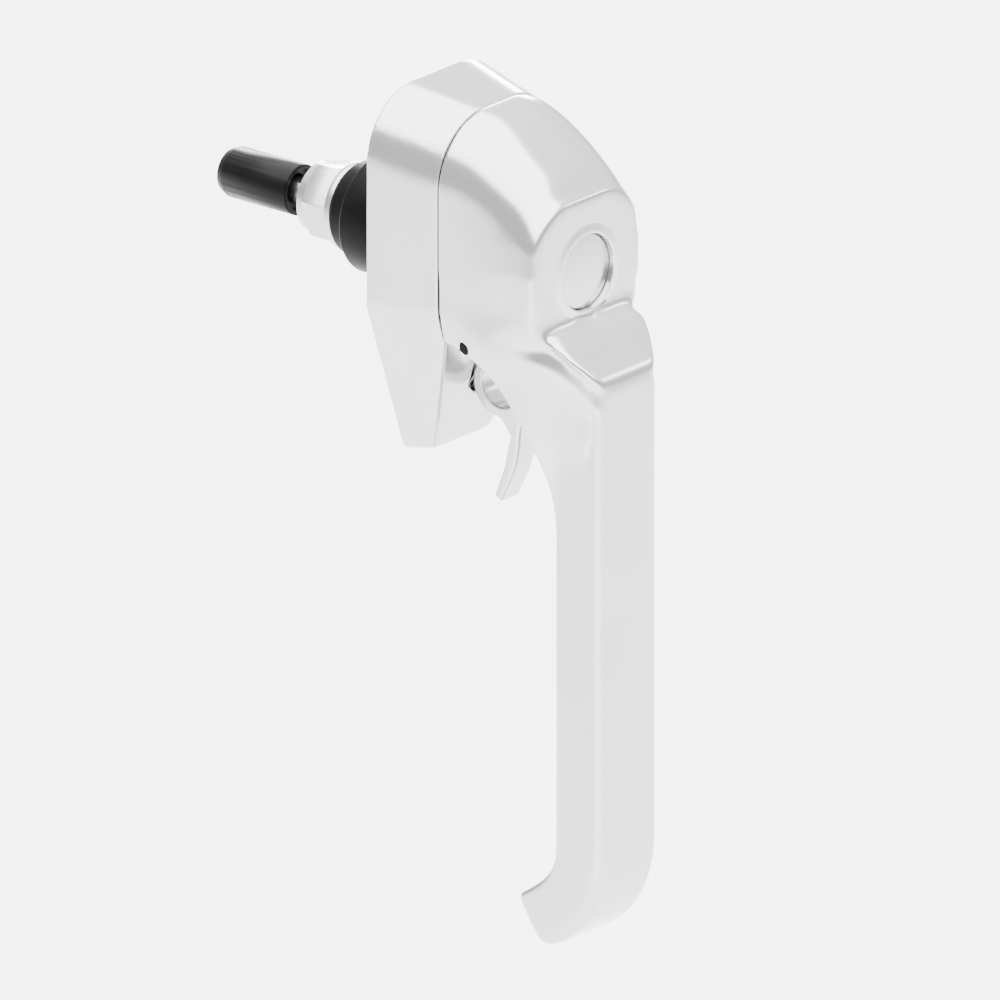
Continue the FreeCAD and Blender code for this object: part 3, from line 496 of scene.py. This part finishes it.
def flank(p):
    """Full on the flank of head and neck, little at the rear edge, nothing on the pad and the front."""
    if p.z > 2 or p.z < -68 or abs(p.x) < 7:
        return 0
    end = between(p.z, FLANK_END)
    rear = 0.12 + 0.88 * ease(between(p.z, REAR_EDGE) - p.y, 0.5, 3.0)
    front = ease(p.y, end, end + 3.5)
    kept = 1 - 0.8 * scooped(p)
    return rear * front * kept * ease(-p.z, -2, 4) * (1 - ease(-p.z, 58, 68)) * ease(abs(p.x), 7, 9)


def crown(p):
    """Full on the dome, and on the upper edge of the lock face."""
    if p.y > -20 or from_axis(p) < 12.5:
        return 0
    return ease(p.z, 2, 8) * ease(-p.y, 20, 23)


def pad_root(p):
    """Full along the crease between the lock face and the pad."""
    if p.y > -42 or from_axis(p) < 11.3:
        return 0
    return share(1 - abs(p.z + 12) / 4.5) * (1 - ease(abs(p.x), 14.5, 18)) * ease(-p.y, 42, 44)


def pad_bend(p):
    """Full along the bend from the pad into the grip."""
    return (1 - ease(math.hypot(p.y + 58.5, p.z + 23), 2.5, 5)) * (1 - ease(abs(p.x), 10, 12.5))


def pad_corner(p):
    """Full where the lock face, the pad and the flank meet."""
    away = math.hypot(abs(p.x) - 19.5, p.y + 44, p.z + 11)
    return 0 if from_axis(p) < 12.5 else 1 - ease(away, 2.5, 7.5)


def brow(p):
    """Full just above the upper edge of the lock face, where the dome runs into it."""
    return ease(p.z, 10, 14) * ease(-p.y, 34, 38) * (1 - ease(-p.y, 43.5, 45.8))


for weight, passes in ((softness, 8), (flank, 120), (crown, 30), (brow, 120), (pad_root, 90), (cove, 24),
                       (pad_bend, 14), (pad_corner, 160)):
    relaxed(handle, passes, weight)

# %% [markdown]
# ## The pin's mouths
# The trigger turns on a blackened pin that is driven in flush. Its two mouths are cut last, as a drill would,
# so that their edges stay sharp, and the pin's copy is stretched to end just below them.

# %% Drill the mouths and stretch the pin
DRILL_RADIUS = 1.66
DRILL_MIDDLE = 21.4
DRILL_LONG = 6
PIN_RADIUS = 1.6
PIN_REACH = 19.85

drill = cylinder("drill", DRILL_RADIUS, (-DRILL_MIDDLE, *PIN_PLACE), DRILL_LONG)
join_into(drill, cylinder("other", DRILL_RADIUS, (DRILL_MIDDLE, *PIN_PLACE), DRILL_LONG))
apply_modifier(handle, "BOOLEAN", operation="DIFFERENCE", object=drill, solver="EXACT")
bpy.data.objects.remove(drill)
print("handle", len(handle.data.polygons), "faces after drilling")
finish_piece(handle, satin_chrome, "handle", "handle")

pin = merged_copy("trigger_pin", "pin")
reach = max(abs(point.co.x) for point in pin.data.vertices) / MM
thick = max(abs(point.co.z / MM - PIN_PLACE[1]) for point in pin.data.vertices)
only(pin)
bpy.ops.object.mode_set(mode="EDIT")
bpy.ops.mesh.select_all(action="SELECT")
bpy.ops.transform.resize(value=(PIN_REACH / reach, PIN_RADIUS / thick, PIN_RADIUS / thick),
                         center_override=(0, PIN_PLACE[0] * MM, PIN_PLACE[1] * MM))
bpy.ops.object.mode_set(mode="OBJECT")
print("pin was", reach, "by", thick)
finish_piece(pin, black_steel, "handle", "trigger_pin")
only(pin)
bpy.ops.object.shade_smooth_by_angle(angle=CORNER)

# %% [markdown]
# ## The rim of the lock bore
# The bore for a lock cylinder, closed here by a blank, has a raised rim that is turned after casting and
# polished brighter than the rest. A short profile of radius and y is swept round the axis, ring by ring, as a
# lathe tool would cut it.

# %% Rim of the lock bore
RIM_PROFILE = ((9.25, -44.6), (9.25, -46.15), (9.33, -46.28), (9.5, -46.36), (9.8, -46.35),
               (10.3, -46.26), (10.8, -46.15), (11.3, -46.05), (11.8, -45.97))

bpy.ops.object.select_all(action="DESELECT")
bpy.ops.mesh.primitive_circle_add(
    vertices=96, radius=RIM_PROFILE[0][0] * MM, fill_type="NOTHING",
    location=(0, RIM_PROFILE[0][1] * MM, 0), rotation=(math.radians(90), 0, 0))
bpy.ops.object.transform_apply(location=True, rotation=True, scale=True)
rim = bpy.context.object
rim.name = "lock_rim"
bpy.ops.object.mode_set(mode="EDIT")
bpy.ops.mesh.select_all(action="SELECT")
for before, after in zip(RIM_PROFILE, RIM_PROFILE[1:]):
    bpy.ops.mesh.extrude_edges_move()
    grow = after[0] / before[0]
    bpy.ops.transform.resize(value=(grow, 1, grow), center_override=(0, 0, 0))
    bpy.ops.transform.translate(value=(0, (after[1] - before[1]) * MM, 0))
bpy.ops.mesh.select_all(action="SELECT")
bpy.ops.mesh.normals_make_consistent(inside=False)
bpy.ops.object.mode_set(mode="OBJECT")
rim.data.materials.append(bright_chrome)
only(rim)
bpy.ops.object.shade_smooth()
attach(rim, "handle")
print("rim", len(rim.data.polygons), "faces")

# %% [markdown]
# ## The housing
# It is drafted so that it leaves its die, and hollow behind to save metal. Its edges are tighter than the
# handle's, so it relaxes less, and least round the head, where the gap to the handle has to stay even.

# %% Housing casting
def housing_softness(p):
    """Half at the face that the handle turns on, nearly full elsewhere."""
    return 0.5 if p.y < -17.5 and p.z > -18 else 0.9


housing = merged_copy("housing", "housing_casting")
remeshed(housing, 0.55)
relaxed(housing, 10, housing_softness)
finish_piece(housing, satin_chrome, "housing", "housing")

# %% [markdown]
# ## The trigger
# A small casting of even thickness with a round eye for a padlock and a curved tail for one finger. It is
# thin, so its quads are smaller than the handle's.

# %% Trigger casting
trigger = merged_copy("trigger", "trigger_casting")
remeshed(trigger, 0.3)
relaxed(trigger, 10)
finish_piece(trigger, satin_chrome, "trigger", "trigger")

# %% [markdown]
# ## The turned and moulded pieces
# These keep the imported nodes' shapes. A welded copy is given a narrow bevel, because a real edge always
# catches a line of light, and is shaded smooth except across its true corners.

# %% Small pieces
def bevelled(node, name, material, body, width_mm):
    """A copy of a node with narrow bevels, shaded smooth between its corners."""
    piece = merged_copy(node, name)
    apply_modifier(piece, "BEVEL", width=width_mm * MM, segments=2, limit_method="ANGLE",
                   angle_limit=CORNER, harden_normals=False)
    finish_piece(piece, material, body, node)
    only(piece)
    bpy.ops.object.shade_smooth_by_angle(angle=CORNER)


bevelled("blank_plug", "lock_blank", satin_chrome, "handle", 0.2)
bevelled("panel_bushing", "bushing", black_nylon, "housing", 0.25)
bevelled("flat_washer", "washer", zinc_steel, "handle", 0.2)
bevelled("lock_nut", "nut", zinc_steel, "handle", 0.15)
bevelled("end_cap", "stud_cap", black_vinyl, "handle", 0.2)

# %% [markdown]
# ## Finishes for the nodes that stay
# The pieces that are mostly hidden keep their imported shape, which already has every turned step, and only get
# their finish.

# %% Dress the remaining nodes
for node, material in {
    "hub_bearing": bronze,
    "seal_ring": black_rubber,
    "plug_seal": black_rubber,
    "spindle": zinc_steel,
    "handle_screw": black_steel,
    "stop_pin": bare_steel,
    "nylon_insert": pale_nylon,
    "trigger_spring": bare_steel,
}.items():
    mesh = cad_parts[node].data
    mesh.materials.clear()
    mesh.materials.append(material)
print("dressed the hidden pieces")

# %% [markdown]
# ## The floor
# The latch hangs in the air, as it would on a door, over a plain pale floor. Matt white paper has no pattern
# of its own to show in the chrome, which reflects the floor in every upright face.

# %% Floor
FLOOR_Z = -0.42

bpy.ops.object.select_all(action="DESELECT")
bpy.ops.mesh.primitive_plane_add(size=12, location=(0, 0, FLOOR_Z))
floor = bpy.context.object
floor.name = "floor"
paper, place = start("pale_paper")
fibre = add_node(paper, "ShaderNodeTexNoise", inputs={"Vector": place, "Scale": 300.0})
matt = add_node(paper, "ShaderNodeMapRange", inputs={
    "Value": fibre.outputs["Fac"], "To Min": 0.85, "To Max": 0.95})
close(paper, add_node(paper, "ShaderNodeBsdfPrincipled", inputs={
    "Base Color": linear("#FAFAFA"), "Roughness": matt.outputs["Result"]}))
floor.data.materials.append(paper)
print("floor at", floor.location.z)

# %% [markdown]
# ## The light
# Chrome shows nothing but its surroundings. A wide soft panel overhead gives the white stripe along the
# shoulders, and the room is a soft gradient: darker near the horizon, which gives the grey stripe below the
# white one, and lighter above. A small panel at the right lights the edges. The others are pools of light on
# the paper, just where the grip's front and sides mirror it.

# %% Soft panels and room
POOL_Z = -0.12


def panel(name, place, target, size, power, spin=0):
    """A soft rectangular lamp that looks at its target."""
    data = bpy.data.lights.new(name, "AREA")
    data.shape = "RECTANGLE"
    data.size = size[0]
    data.size_y = size[1]
    data.energy = power
    lamp = bpy.data.objects.new(name, data)
    lamp.location = place
    lamp.rotation_euler = (Vector(target) - Vector(place)).to_track_quat("-Z", "Y").to_euler()
    lamp.rotation_euler.z += math.radians(spin)
    bpy.context.scene.collection.objects.link(lamp)
    print(name, power, "W")


panel("ceiling_panel", (-0.3, -0.4, 1.0), (-0.3, -0.4, 0), (2.0, 2.6), 150, spin=-8)
panel("edge_panel", (1.45, -1.2, 0.66), (0, 0, 0), (0.35, 0.35), 4)
panel("floor_panel", (1.9, 1.6, 0.45), (0.9, 0.75, FLOOR_Z), (1.0, 0.6), 75)
panel("front_pool", (-0.85, -0.5, POOL_Z), (-0.85, -0.5, FLOOR_Z), (0.8, 0.8), 7)
panel("right_pool", (0.75, -0.62, POOL_Z), (0.75, -0.62, FLOOR_Z), (0.35, 0.35), 1.2)

world = bpy.data.worlds.new("studio")
bpy.context.scene.world = world
world.use_nodes = True
sky = world.node_tree.nodes["Background"]
direction = add_node(world, "ShaderNodeTexCoord")
height = add_node(world, "ShaderNodeVectorMath", {"operation": "DOT_PRODUCT"}, {
    0: direction.outputs["Generated"], 1: (0.4, 0, 1)})
ramp = add_node(world, "ShaderNodeValToRGB", inputs={"Fac": height.outputs["Value"]})
steps = ramp.color_ramp
steps.elements[0].position = 0.0
steps.elements[0].color = linear("#AAAAAA")
steps.elements[1].position = 1.0
steps.elements[1].color = linear("#FFFFFF")
for place_up, shade in ((0.2, "#AAAAAA"), (0.4, "#BCBCBC"), (0.6, "#F0F0F0")):
    steps.elements.new(place_up).color = linear(shade)
world.node_tree.links.new(ramp.outputs["Color"], sky.inputs["Color"])
sky.inputs["Strength"].default_value = 4.0
print("sky steps", len(steps.elements))
